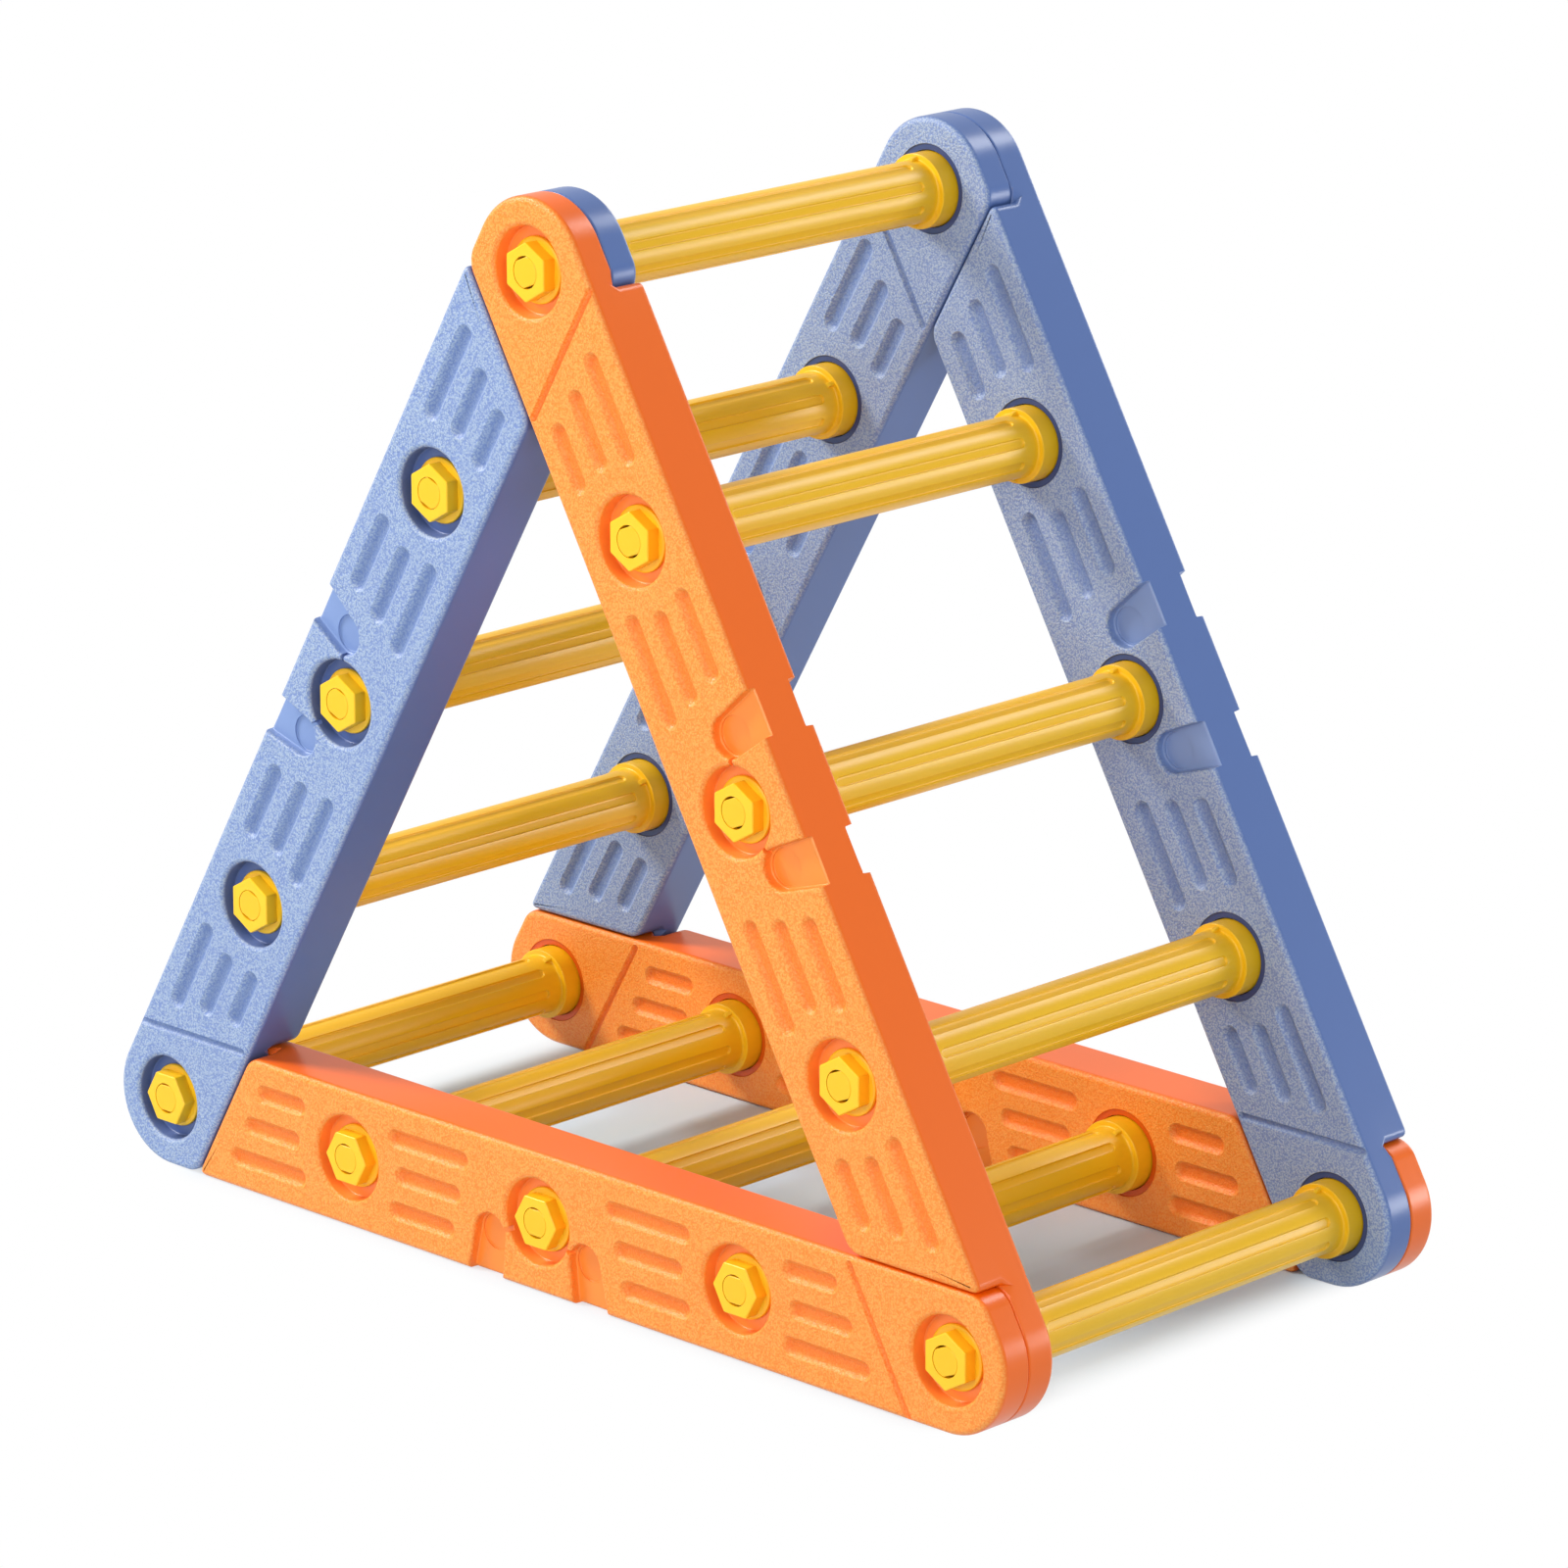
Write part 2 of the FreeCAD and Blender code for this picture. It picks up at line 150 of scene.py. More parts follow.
def rounded_rim(radius, rim, floor, corner):
    """Levels of a bowl whose rim is rounded over and whose floor has a small corner radius."""
    above_face, draft = -0.25, 0.2
    levels = [(radius + rim + 1.0, above_face)]
    for turn in (12, 30, 48, 66, 90):
        angle = math.radians(turn)
        levels.append((radius + rim * (1 - math.sin(angle)), rim * (1 - math.cos(angle))))
    for turn in (0, 30, 60, 90):
        angle = math.radians(turn)
        inwards = draft + corner * (1 - math.cos(angle))
        levels.append((radius - inwards, floor - corner * (1 - math.sin(angle))))
    return levels


def pull(bm, where, change):
    """Pull one part of a bowl out, so that a round bowl becomes a trough."""
    verts = [v for v in bm.verts if where(v.co)]
    bmesh.ops.transform(bm, matrix=change, verts=verts)


def gather(cutters, bm, place):
    """Add a copy of a bowl to the cutters."""
    mesh = bpy.data.meshes.new("cutter")
    bm.to_mesh(mesh)
    first = len(cutters.verts)
    cutters.from_mesh(mesh)
    bmesh.ops.transform(cutters, matrix=place, verts=list(cutters.verts)[first:])
    bpy.data.meshes.remove(mesh)


def shape(blank, *tools):
    """The blank's mesh after each tool, a pair of operation and bmesh, has worked on it."""
    scratch = []
    for bm in [blank] + [tool for operation, tool in tools]:
        bmesh.ops.recalc_face_normals(bm, faces=bm.faces)
        mesh = bpy.data.meshes.new("scratch")
        bm.to_mesh(mesh)
        bm.free()
        thing = bpy.data.objects.new("scratch", mesh)
        bpy.context.scene.collection.objects.link(thing)
        scratch.append(thing)
    for (operation, tool), thing in zip(tools, scratch[1:]):
        work = scratch[0].modifiers.new("work", "BOOLEAN")
        work.operation = operation
        work.solver = "EXACT"
        work.object = thing
    shaped = scratch[0].evaluated_get(bpy.context.evaluated_depsgraph_get())
    mesh = bpy.data.meshes.new_from_object(shaped)
    for thing in scratch:
        bpy.data.objects.remove(thing)
    return mesh


outer_side = Matrix.Identity(4)
inner_side = Matrix.Translation((0, thickness, 0)) @ Matrix.Diagonal((1, -1, 1, 1))
both_ends = [Matrix.Identity(4), Matrix.Diagonal((-1, 1, 1, 1))]
both_faces = [face @ end for face in (outer_side, inner_side) for end in both_ends]
steps = [-2 * hole_pitch, -hole_pitch, 0, hole_pitch, 2 * hole_pitch]
seat_holes, moat_holes = steps[:4], steps[1:]

# Round recesses: a seat for each nut outside, and inside a shallow moat round each rung's
# collar with the collar's own seat in the middle of it.
carving = bmesh.new()
nut_seat = sink(rounded_rim(22.5, 2.6, 8.6, 0.8), 96)
for step in seat_holes:
    gather(carving, nut_seat, Matrix.Translation((step, 0, 0)))
collar_seat = [(20.15, 0.65), (20.0, 0.8), (20.0, 5.2)]
collar_moat = sink(rounded_rim(23.2, 0.3, 0.6, 0.15) + collar_seat, 96)
for step in moat_holes:
    gather(carving, collar_moat, inner_side @ Matrix.Translation((step, 0, 0)))

# Grip troughs: rows above, on and below the middle line, each an inner and an outer length in mm.
troughs = [
    (19.5, 60.3, 108.3), (0, 55.3, 103.3), (-19.5, 49.5, 108.3),
    (19.5, 172.1, 230.2), (0, 176.3, 218.3), (-19.5, 171.7, 208.3),
]
trough_levels = [
    (6.4, -0.25), (5.4, 0.1), (5.0, 0.35), (4.5, 0.85),
    (4.0, 1.4), (3.4, 1.9), (2.6, 2.3), (1.4, 2.5),
]
end_radius = 5
for row, begin, end in troughs:
    groove = sink(trough_levels, 32)
    run = (end - begin - 2 * end_radius) * 0.001
    pull(groove, lambda p: p.x > 0, Matrix.Translation((run, 0, 0)))
    for place in both_faces:
        start = Matrix.Translation(((begin + end_radius) * 0.001, 0, row * 0.001))
        gather(carving, groove, place @ start)
    groove.free()

# A pair of pockets beside the middle hole. A pocket's upper half is pulled past the bar's edge
# and splays, its floor drops at the edge, and a shallow disc is sunk in it.
pocket_along, pocket_up = 0.034, 0.0145
pocket_pull = 0.0255
flare = pocket_pull / (half_width - pocket_up)
splay = Matrix.Translation((0.004 * flare, 0, pocket_pull))
splay[0][0] = 1 + 0.136 * flare
pocket = sink(rounded_rim(11, 1.3, 5.5, 0.8), 64)
pull(pocket, lambda p: p.z > 0, splay)
divide(pocket, (0, 0, 0.0209), (0, 0, 1))
pull(pocket, lambda p: p.z > 0.022 and p.y > 0.005, Matrix.Translation((0, 0.004, 0)))
sunk_disc = sink([(9.65, 4.4), (9.65, 6.2), (9.45, 6.45), (9.0, 6.55)], 64)
pockets = bmesh.new()
detail = bmesh.new()
for place in both_faces:
    beside = place @ Matrix.Translation((pocket_along, 0, pocket_up))
    gather(pockets, pocket, beside)
    gather(detail, sunk_disc, beside)

# A narrow slit joins each outer pocket to the middle nut seat.
slit = bmesh.new()
bmesh.ops.create_cube(slit, size=1)
bmesh.ops.scale(slit, verts=slit.verts, vec=(0.009, 0.009, 0.0026))
slit_lean = Matrix.Rotation(-math.atan2(pocket_up, pocket_along), 4, "Y")
for end in both_ends:
    gather(detail, slit, end @ slit_lean @ Matrix.Translation((0.0245, 0, 0)))

# A shallow scored line crosses each tab.
score_distance = 0.039
score_levels = [(2.8, -0.25), (2.2, 0.08), (2.0, 0.25), (1.85, 0.7), (1.6, 1.3), (1.1, 1.7), (0.5, 1.85)]
score = sink(score_levels, 24)
pull(score, lambda p: p.z > 0, Matrix.Translation((0, 0, 0.06)))
pull(score, lambda p: p.z < 0, Matrix.Translation((0, 0, -0.06)))
for face, side in ((outer_side, -1), (inner_side, 1)):
    hole = Matrix.Translation((side * corner_spacing / 2, 0, 0))
    along_mitre = Matrix.Rotation(math.radians(-90 - side * 60), 4, "Y")
    gather(carving, score, face @ hole @ along_mitre @ Matrix.Translation((score_distance, 0, 0)))

bar_mesh = shape(bar_blank(), ("DIFFERENCE", carving), ("DIFFERENCE", pockets), ("DIFFERENCE", detail))
for bm in (nut_seat, collar_moat, pocket, sunk_disc, slit, score):
    bm.free()


def near_hole(x, z, holes, reach):
    return any(math.hypot(x - hole, z) < reach for hole in holes)


# The mould is grained on the broad faces and in the troughs. The grain runs out over each rim,
# and there is none in the moats.
trough_reach, trough_floor = 0.026, 0.0026
inside_moat = 0.0233
grain_ends, grain_fades = 0.0028, 0.0016
pebbled = bar_mesh.attributes.new("pebbled", "FLOAT", "POINT")
for vert, share in zip(bar_mesh.vertices, pebbled.data):
    x, y, z = vert.co
    sunk = min(y, thickness - y)
    in_rows = abs(z) < trough_reach and any(a < abs(x) < b for a, b in trough_spans)
    if in_rows and sunk < trough_floor:
        share.value = 1
    elif y > thickness / 2 and near_hole(x, z, moat_holes, inside_moat):
        share.value = 0
    else:
        share.value = min(max((grain_ends - sunk) / grain_fades, 0), 1)

# Pockets, nut seats and collar moats are smooth, each a little off the edges' colour; the moats, and in
# blue the nut seats, are painted darker as shade.
seat_rim, moat_rim = 0.0249, 0.0235
recess = bar_mesh.attributes.new("recess", "FLOAT_VECTOR", "FACE")
for face, kind in zip(bar_mesh.polygons, recess.data):
    x, y, z = face.center
    outer = y < thickness / 2
    sunk = min(y, thickness - y)
    in_seat = outer and sunk > 0.0005 and near_hole(x, z, seat_holes, seat_rim)
    in_moat = not outer and sunk > 0.0001 and near_hole(x, z, moat_holes, moat_rim)
    beside = 0.019 < abs(x) < 0.054 and 0.0005 < z < 0.0366 and 0.0003 < sunk < 0.012
    kind.vector = (beside and not in_seat and not in_moat, in_seat, in_moat)


def srgb(red, green, blue):
    """A colour as it is read off a screen, as the shader's own values."""
    return tuple(((c / 255 + 0.055) / 1.055) ** 2.4 for c in (red, green, blue)) + (1,)


def new_material(name):
    """A new material, its node tree and its main shader."""
    material = bpy.data.materials.new(name)
    material.use_nodes = True
    tree = material.node_tree
    return material, tree, tree.nodes["Principled BSDF"]


def math_node(tree, operation, *values):
    """An operation on one to three values, each a number or another node's output."""
    node = tree.nodes.new("ShaderNodeMath")
    node.operation = operation
    for socket, value in zip(node.inputs, values):
        if isinstance(value, (int, float)):
            socket.default_value = value
        else:
            tree.links.new(value, socket)
    return node.outputs[0]


def map_range(tree, value, low, high):
    """A smooth step from 0 at low to 1 at high."""
    node = tree.nodes.new("ShaderNodeMapRange")
    node.interpolation_type = "SMOOTHSTEP"
    node.inputs["From Min"].default_value = low
    node.inputs["From Max"].default_value = high
    tree.links.new(value, node.inputs["Value"])
    return node.outputs["Result"]


def colour_mix(tree, share, first, second):
    """The first colour where the share is 0, the second where it is 1."""
    node = tree.nodes.new("ShaderNodeMix")
    node.data_type = "RGBA"
    tree.links.new(share, node.inputs[0])
    for socket, colour in ((node.inputs[6], first), (node.inputs[7], second)):
        if isinstance(colour, tuple):
            socket.default_value = colour
        else:
            tree.links.new(colour, socket)
    return node.outputs[2]


def noise(tree, place, scale, detail, distortion=0.0):
    node = tree.nodes.new("ShaderNodeTexNoise")
    node.inputs["Scale"].default_value = scale
    node.inputs["Detail"].default_value = detail
    node.inputs["Distortion"].default_value = distortion
    tree.links.new(place, node.inputs["Vector"])
    return node.outputs["Fac"]


def object_place(tree):
    return tree.nodes.new("ShaderNodeTexCoord").outputs["Object"]


def split(tree, vector):
    node = tree.nodes.new("ShaderNodeSeparateXYZ")
    tree.links.new(vector, node.inputs[0])
    return node.outputs


def painted(tree, name, output):
    """What an attribute of the mesh says."""
    node = tree.nodes.new("ShaderNodeAttribute")
    node.attribute_name = name
    return node.outputs[output]


def add_bump(tree, shader, height, strength, distance):
    node = tree.nodes.new("ShaderNodeBump")
    node.inputs["Strength"].default_value = strength
    node.inputs["Distance"].default_value = distance
    tree.links.new(height, node.inputs["Height"])
    tree.links.new(node.outputs["Normal"], shader.inputs["Normal"])


def grained_plastic(name, face_colour_with_sheen, valley_colour_with_shade, smooth_colour, recess_colours_with_shade):
    """Coloured polyethylene: pebbled on the broad faces and paler there with painted sheen, deeper and
    satin elsewhere.
    """
    material, tree, shader = new_material(name)
    place = object_place(tree)
    grained = painted(tree, "pebbled", "Fac")

    pebbles = tree.nodes.new("ShaderNodeTexVoronoi")
    pebbles.feature = "SMOOTH_F1"
    pebbles.inputs["Scale"].default_value = 900
    pebbles.inputs["Smoothness"].default_value = 0.5
    tree.links.new(place, pebbles.inputs["Vector"])
    worms = noise(tree, place, 920, 1.5, 0.9)
    relief = math_node(tree, "MULTIPLY", pebbles.outputs["Distance"], 0.55)
    relief = math_node(tree, "SUBTRACT", worms, relief)
    add_bump(tree, shader, math_node(tree, "MULTIPLY", relief, grained), 1.0, 0.0004)

    # Valleys of the grain are painted deeper in colour, as shade in them, and the peaks paler, as painted
    # sheen; the whole moulding drifts a little.
    peak_sheen_share = map_range(tree, relief, 0.05, 0.42)
    face = colour_mix(tree, peak_sheen_share, valley_colour_with_shade, face_colour_with_sheen)
    drift = map_range(tree, noise(tree, place, 7, 3), 0.3, 0.7)
    drift = math_node(tree, "MULTIPLY", drift, 0.12)
    face = colour_mix(tree, drift, face, valley_colour_with_shade)

    # Painted shade by depth: the face colour, with its painted sheen, is full on the faces and thins out
    # towards the deeper colour on the troughs' floors, as shade there.
    depth = math_node(tree, "ABSOLUTE", split(tree, place)["Y"])
    depth = math_node(tree, "SUBTRACT", depth, half_depth - thickness / 2)
    depth = math_node(tree, "ABSOLUTE", depth)
    painted_depth_shade = math_node(tree, "MULTIPLY_ADD", map_range(tree, depth, 0.0153, 0.0173), 0.58, 0.42)
    face = colour_mix(tree, painted_depth_shade, smooth_colour, face)

    plain = smooth_colour
    for kind, colour in zip(split(tree, painted(tree, "recess", "Vector")), recess_colours_with_shade):
        plain = colour_mix(tree, kind, plain, colour)
    tree.links.new(colour_mix(tree, grained, plain, face), shader.inputs["Base Color"])
    satin = math_node(tree, "MULTIPLY_ADD", grained, 0.08, 0.30)
    tree.links.new(satin, shader.inputs["Roughness"])
    shader.inputs["Specular IOR Level"].default_value = 0.4
    return material


# The face colours are paler with painted sheen and the valley colours deeper with painted shade. Recess
# colours are for the pockets, the nut seats and the moats; the moats' colours and the blue nut seats'
# colour are darker as painted shade.
orange_plastic = grained_plastic(
    "orange_plastic", srgb(252, 164, 74), srgb(246, 132, 38), srgb(246, 106, 8),
    [srgb(250, 142, 52), srgb(250, 140, 58), srgb(214, 88, 12)])
blue_plastic = grained_plastic(
    "blue_plastic", srgb(167, 181, 200), srgb(118, 138, 186), srgb(86, 111, 165),
    [srgb(124, 146, 192), srgb(80, 100, 154), srgb(56, 72, 120)])


def finish_piece(name, mesh, material, node, sharp=38):
    """Put a finished mesh in the scene in place of its plain solid."""
    mesh.name = name
    mesh.materials.clear()
    mesh.materials.append(material)
    mesh.shade_smooth()
    mesh.set_sharp_from_angle(angle=math.radians(sharp))
    piece = bpy.data.objects.new(name, mesh)
    bpy.context.scene.collection.objects.link(piece)
    even = piece.modifiers.new("even_shading", "WEIGHTED_NORMAL")
    even.keep_sharp = True
    even.weight = 90
    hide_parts(node)
    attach(piece, "root")


# The back triangle is the front one's mirror image.
triangle_rise = corner_spacing * math.sqrt(3) / 2
bar_places = {
    "right": (60, corner_spacing / 4, half_width + triangle_rise / 2),
    "base": (180, 0, half_width),
    "left": (300, -corner_spacing / 4, half_width + triangle_rise / 2),
}
bar_colours = {
    "front_right": orange_plastic, "front_base": orange_plastic, "front_left": blue_plastic,
    "back_right": blue_plastic, "back_base": orange_plastic, "back_left": blue_plastic,
}
for spot, material in bar_colours.items():
    triangle, position = spot.split("_")
    turn, x, z = bar_places[position]
    hand = 1 if triangle == "front" else -1
    mesh = bar_mesh.copy()
    mesh.transform(Matrix.Diagonal((1, hand, 1, 1)))
    place = Matrix.Translation((x, -hand * half_depth, z))
    mesh.transform(place @ Matrix.Rotation(math.radians(turn), 4, "Y"))
    if hand < 0:
        mesh.flip_normals()
    finish_piece(spot + "_bar_moulding", mesh, material, spot + "_bar")
bpy.data.meshes.remove(bar_mesh)


# Twelve rungs: tubes with collars and threaded stud ends, each one semi-gloss yellow moulding.
# Eight shallow flutes give grip. The collars sit in the bars' inner seats, and two small webs
# brace each collar on the moulding's parting line.
rung_radius = 0.0163
stud_radius = 0.008
stud_flat = 0.0070
stud_start = 0.129
flute_reach = 0.102


def turned(profile, segments):
    """A solid turned about Y from its profile: (radius, place along Y) in mm."""
    bm = bmesh.new()
    verts = [bm.verts.new((0, y * 0.001, r * 0.001)) for r, y in profile]
    edges = [bm.edges.new(pair) for pair in zip(verts, verts[1:])]
    bmesh.ops.spin(
        bm, geom=verts + edges, cent=(0, 0, 0), axis=(0, 1, 0), angle=math.tau, steps=segments,
        use_merge=True)
    bmesh.ops.remove_doubles(bm, verts=bm.verts, dist=1e-6)
    return bm


# From the stud's end to the tube, in mm: stud, collar and the fillet under the collar.
half_rung = [
    (7.3, 161), (7.6, 160.95), (7.85, 160.75), (8, 160.4), (8, 128.8),
    (19.1, 128.8), (19.5, 128.4), (19.5, 114.7), (19.38, 114.3), (19.05, 114.05),
    (17.3, 114.0), (16.75, 113.8), (16.42, 113.3), (16.3, 112.6),
]
rung = turned(half_rung + [(r, -y) for r, y in reversed(half_rung)], 128)
bmesh.ops.holes_fill(rung, edges=[edge for edge in rung.edges if edge.is_boundary])
for vert in rung.verts:
    if abs(vert.co.y) > stud_start:
        flat = stud_flat * math.hypot(vert.co.x, vert.co.z) / stud_radius
        vert.co.z = max(min(vert.co.z, flat), -flat)

# Flutes: shallow channels, 5 mm wide, with round ends that stop short of the collars.
flutes = bmesh.new()
flute_levels = [
    (3.4, -0.3), (2.8, 0.14), (2.62, 0.26), (2.5, 0.5),
    (2.4, 0.85), (2.25, 1.1), (1.9, 1.25), (0.9, 1.3),
]
flute = sink(flute_levels, 32)
pull(flute, lambda p: p.x > 0, Matrix.Translation((flute_reach, 0, 0)))
pull(flute, lambda p: p.x < 0, Matrix.Translation((-flute_reach, 0, 0)))
onto_tube = Matrix(((0, 0, 1, 0), (1, 0, 0, 0), (0, -1, 0, rung_radius), (0, 0, 0, 1)))
for number in range(8):
    gather(flutes, flute, Matrix.Rotation(number * math.pi / 4, 4, "Y") @ onto_tube)
flute.free()

# Webs: small blocks between collar and tube, whose top leans in towards the collar.
webs = bmesh.new()
web = bmesh.new()
web_along, web_up = 0.1115, 0.0168
bmesh.ops.create_cube(web, size=1)
bmesh.ops.scale(web, verts=web.verts, vec=(0.0028, 0.0075, 0.004))
bmesh.ops.translate(web, verts=web.verts, vec=(0, web_along, web_up))
leaning = [v for v in web.verts if v.co.y < web_along and v.co.z > web_up]
bmesh.ops.translate(web, verts=leaning, vec=(0, 0.0030, -0.0012))
ease(web, web.edges[:], 0.0006, 2)
for up in (1, -1):
    for end in (1, -1):
        gather(webs, web, Matrix.Rotation(math.pi / 8, 4, "Y") @ Matrix.Diagonal((1, end, up, 1)))
web.free()
rung_mesh = shape(rung, ("DIFFERENCE", flutes), ("UNION", webs))


def glossy_plastic(name, colour, deep, gloss):
    """Yellow moulded plastic: smooth, with faint flow marks and a slow drift of colour."""
    material, tree, shader = new_material(name)
    place = object_place(tree)
    drawn = tree.nodes.new("ShaderNodeMapping")
    drawn.inputs["Scale"].default_value = (1, 0.12, 1)
    tree.links.new(place, drawn.inputs["Vector"])
    flow = noise(tree, drawn.outputs["Vector"], 120, 3)
    marks = math_node(tree, "MULTIPLY", flow, 0.14)
    tree.links.new(colour_mix(tree, marks, colour, deep), shader.inputs["Base Color"])
    rough = math_node(tree, "MULTIPLY_ADD", flow, 0.05, gloss)
    tree.links.new(rough, shader.inputs["Roughness"])
    add_bump(tree, shader, noise(tree, place, 700, 2), 0.05, 0.0003)
    shader.inputs["Specular IOR Level"].default_value = 0.4
    return material


rung_plastic = glossy_plastic("rung_plastic", srgb(244, 188, 18), srgb(236, 168, 6), 0.31)

# Each rung's hole in steps across and up from the middle of the base, and its turn in degrees.
rise = triangle_rise / 4
holes = {
    "top": (0, 4, -22.5),
    "right_upper": (0.5, 3, -22.5), "right_middle": (1, 2, -22.5), "right_lower": (1.5, 1, -22.5),
    "right_corner": (2, 0, -22.5), "base_right": (1, 0, 0), "base_middle": (0, 0, 0),
    "base_left": (-1, 0, 0), "left_corner": (-2, 0, 0),
    "left_lower": (-1.5, 1, 22.5), "left_middle": (-1, 2, 22.5), "left_upper": (-0.5, 3, 22.5),
}
for spot, (across, up, turn) in holes.items():
    mesh = rung_mesh.copy()
    place = Matrix.Translation((across * hole_pitch, 0, half_width + up * rise))
    mesh.transform(place @ Matrix.Rotation(math.radians(turn), 4, "Y"))
    finish_piece(spot + "_rung_moulding", mesh, rung_plastic, spot + "_rung", 50)
bpy.data.meshes.remove(rung_mesh)


# Twenty-four nuts: yellow hex nuts moulded with a thin round flange, 26 mm across the flats.
# Each screws onto a rung's stud and clamps the bars against the collar.
nut_corner_radius = 0.01501
nut_height = 0.0096
nut_bore_radius = 0.00818
seat_depth = 0.0086


def prism(sides, radius, height):
    """A prism or cylinder along Y with its middle at the origin."""
    bm = bmesh.new()
    bmesh.ops.create_cone(bm, cap_ends=True, segments=sides, radius1=radius, radius2=radius, depth=height)
    bmesh.ops.rotate(bm, verts=bm.verts, cent=(0, 0, 0), matrix=Matrix.Rotation(math.pi / 2, 3, "X"))
    return bm


nut = prism(6, nut_corner_radius, nut_height)
bmesh.ops.translate(nut, verts=nut.verts, vec=(0, -nut_height / 2, 0))
ease(nut, nut.edges[:], 0.0008, 3)
flange_profile = [
    (0, 0.01), (16.5, 0.01), (16.8, -0.3), (16.8, -1.2), (16.5, -1.7),
    (15.9, -2.0), (15.0, -2.2), (12, -2.5), (0, -2.5),
]
flange = turned(flange_profile, 72)
nut_mesh = shape(nut, ("UNION", flange), ("DIFFERENCE", prism(64, nut_bore_radius, 0.03)))

nut_plastic = glossy_plastic("nut_plastic", srgb(250, 194, 26), srgb(244, 182, 14), 0.3)
for triangle, hand in (("front", 1), ("back", -1)):
    nuts = bmesh.new()
    for across, up, turn in holes.values():
        first = len(nuts.verts)
        nuts.from_mesh(nut_mesh)
        seat = -hand * (half_depth - seat_depth)
        place = Matrix.Translation((across * hole_pitch, seat, half_width + up * rise))
        place = place @ Matrix.Rotation(0 if hand > 0 else math.pi, 4, "Z")
        place = place @ Matrix.Rotation(math.radians(30) if turn == 0 else 0, 4, "Y")
        bmesh.ops.transform(nuts, matrix=place, verts=list(nuts.verts)[first:])
    mesh = bpy.data.meshes.new("nuts")
    nuts.to_mesh(mesh)
    nuts.free()
    finish_piece(triangle + "_nut_set", mesh, nut_plastic, triangle + "_nuts", 32)
bpy.data.meshes.remove(nut_mesh)


# Floor: a plain pale sweep that takes the frame's soft shadow and fades into the white
# background away from it.
shadow_edges = {"X": 0.25, "Y": 0.13}
shadow_fade = 0.045


def shows_background(tree):
    """1 for what the camera sees, also in a reflection or through glass, and 0 for other light."""
    path = tree.nodes.new("ShaderNodeLightPath")
    seen = math_node(tree, "ADD", path.outputs["Is Camera Ray"], path.outputs["Is Glossy Ray"])
    seen = math_node(tree, "ADD", seen, path.outputs["Is Transmission Ray"])
    return math_node(tree, "MINIMUM", seen, 1)


def blend_shaders(tree, share, first, second, output):
    blend = tree.nodes.new("ShaderNodeMixShader")
    for value, socket in zip((share, first.outputs[0], second.outputs[0]), blend.inputs):
        tree.links.new(value, socket)
    tree.links.new(blend.outputs[0], tree.nodes[output].inputs["Surface"])


floor_mesh = bpy.data.meshes.new("floor")
sweep = bmesh.new()
bmesh.ops.create_grid(sweep, x_segments=1, y_segments=1, size=12)
sweep.to_mesh(floor_mesh)
sweep.free()
floor = bpy.data.objects.new("floor", floor_mesh)
bpy.context.scene.collection.objects.link(floor)
floor_paint, tree, shader = new_material("floor_paint")
shader.inputs["Base Color"].default_value = (0.57, 0.70, 0.82, 1)
shader.inputs["Roughness"].default_value = 0.6
shader.inputs["Specular IOR Level"].default_value = 0.2
place = split(tree, object_place(tree))
outside = []
for axis, edge in shadow_edges.items():
    past = math_node(tree, "ABSOLUTE", place[axis])
    past = math_node(tree, "SUBTRACT", past, edge)
    past = math_node(tree, "MAXIMUM", past, 0)
    outside.append(math_node(tree, "MULTIPLY", past, past))
reach = math_node(tree, "SQRT", math_node(tree, "ADD", *outside))
fade = map_range(tree, reach, 0, shadow_fade)
white = tree.nodes.new("ShaderNodeEmission")
white.inputs["Strength"].default_value = 1
faded = math_node(tree, "MULTIPLY", shows_background(tree), fade)
blend_shaders(tree, faded, shader, white, "Material Output")
floor_mesh.materials.append(floor_paint)


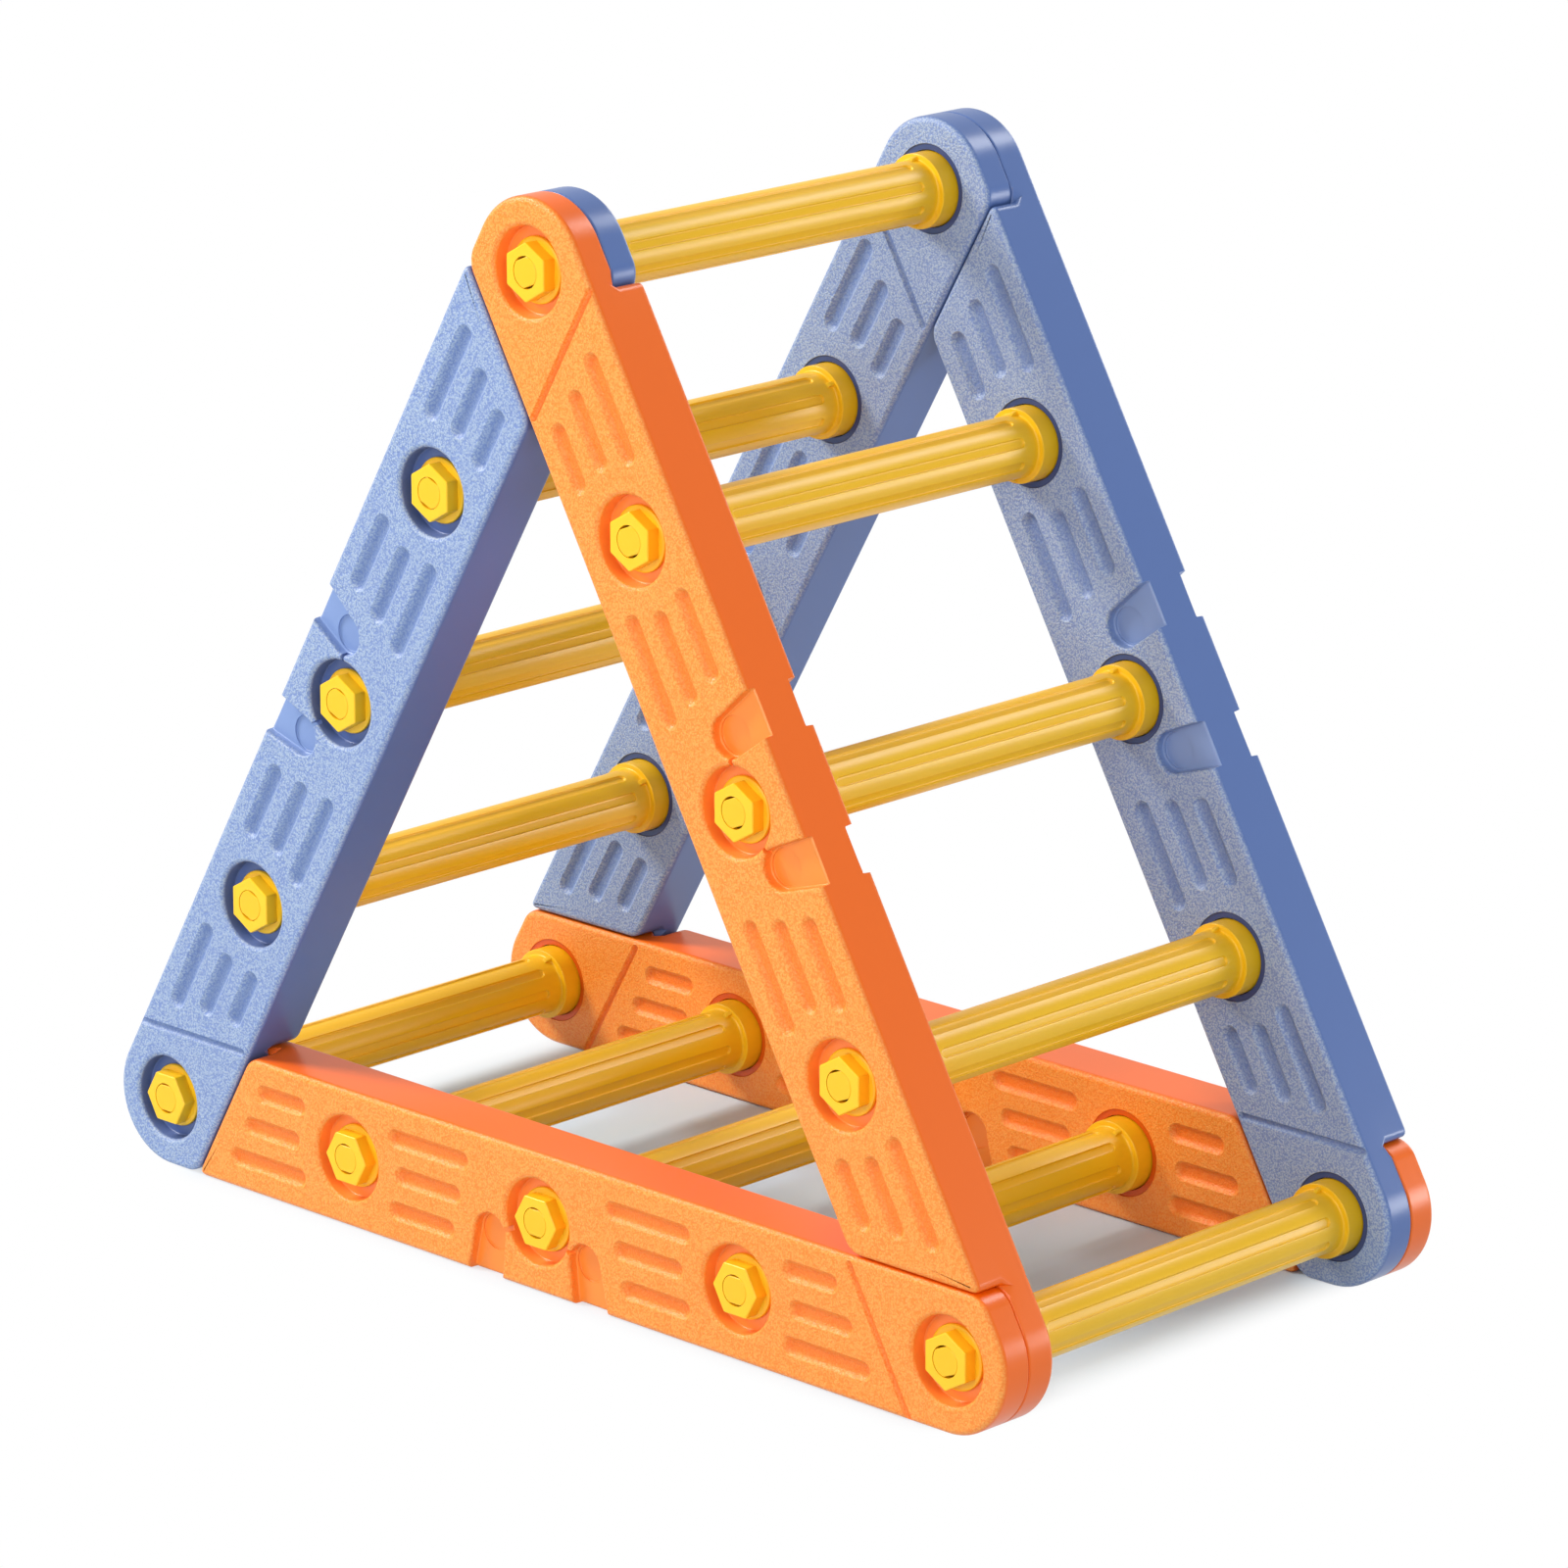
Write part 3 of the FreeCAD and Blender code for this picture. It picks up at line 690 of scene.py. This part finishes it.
# Light: an even pale room and six soft lamps, the key high on the front left, fills at the
# front, the right and the rear, and a high and a low one behind for the sheen on the rounds.
world = bpy.data.worlds.new("room")
bpy.context.scene.world = world
world.use_nodes = True
tree = world.node_tree
room = tree.nodes["Background"]
room.inputs["Color"].default_value = (0.76, 0.86, 1, 1)
room.inputs["Strength"].default_value = 0.37
open_white = tree.nodes.new("ShaderNodeBackground")
open_white.inputs["Strength"].default_value = 1
blend_shaders(tree, shows_background(tree), room, open_white, "World Output")

frame_middle = Vector((0, 0, 0.28))
warm = (1, 0.97, 0.92)
neutral = (1, 1, 1)


def soft_lamp(name, position, size, power, tint):
    lamp = bpy.data.lights.new(name, "AREA")
    lamp.shape = "DISK"
    lamp.size = size
    lamp.energy = power
    lamp.color = tint
    thing = bpy.data.objects.new(name, lamp)
    thing.location = position
    thing.rotation_euler = (frame_middle - Vector(position)).to_track_quat("-Z", "Y").to_euler()
    bpy.context.scene.collection.objects.link(thing)


soft_lamp("key_lamp", (-1.58, -0.96, 1.79), 0.8, 55, warm)
soft_lamp("front_lamp", (0.2, -3.0, 1.2), 1.6, 36, warm)
soft_lamp("back_lamp", (0.45, 1.56, 1.92), 0.6, 11, neutral)
soft_lamp("rear_lamp", (-0.3, 3.0, 1.3), 1.6, 22, neutral)
soft_lamp("side_lamp", (2.2, -1.3, 1.6), 1.4, 20, neutral)
soft_lamp("low_lamp", (1.6, 1.65, 0.3), 0.6, 12, neutral)


# Camera: a long lens at the front right, looking slightly down.
lens = bpy.data.cameras.new("camera")
lens.sensor_width = 36
lens.lens = 162.66
lens.clip_end = 50
camera = bpy.data.objects.new("camera", lens)
right = Vector((0.7178, 0.6963, 0)).normalized()
back = Vector((0.6689, -0.6895, 0.2779)).normalized()
upwards = back.cross(right).normalized()
facing = Matrix((right, upwards, back)).transposed().to_4x4()
camera.matrix_world = Matrix.Translation((2.4180, -2.4744, 1.2332)) @ facing
bpy.context.scene.collection.objects.link(camera)
bpy.context.scene.camera = camera

bpy.context.scene.view_settings.view_transform = "Standard"
